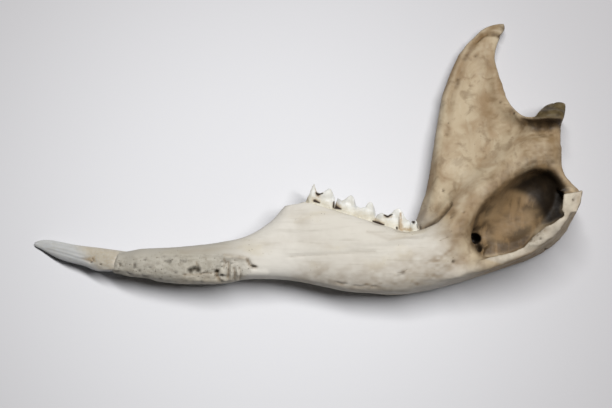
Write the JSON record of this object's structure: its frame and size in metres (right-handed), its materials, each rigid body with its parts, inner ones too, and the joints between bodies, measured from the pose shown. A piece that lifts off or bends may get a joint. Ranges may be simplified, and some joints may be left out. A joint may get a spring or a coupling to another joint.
{
  "type": "kangaroo jawbone",
  "caption": "Right half of a large kangaroo's lower jaw, dry bone lying on its outer side, with its long incisor and its row of molars.",
  "frame": {"origin": "under the middle of the jaw, on the surface that it lies on", "axes": "+X from the incisor's tip back to the angle of the jaw, +Y up the ramus to the coronoid process, +Z from the outer side that rests on the surface to the inner side that shows"},
  "size_m": [0.161, 0.0828, 0.0266],
  "materials": {
    "bone": "dry matte bone, cream on the body and tan on the ramus",
    "tooth": "smooth greyish white enamel with brown stains in its hollows"
  },
  "bodies": {
    "root": {"jawbone": "bone", "incisor": "tooth", "first_molar": "tooth", "second_molar": "tooth", "third_molar": "tooth", "fourth_molar": "tooth"}
  },
  "joints": []
}
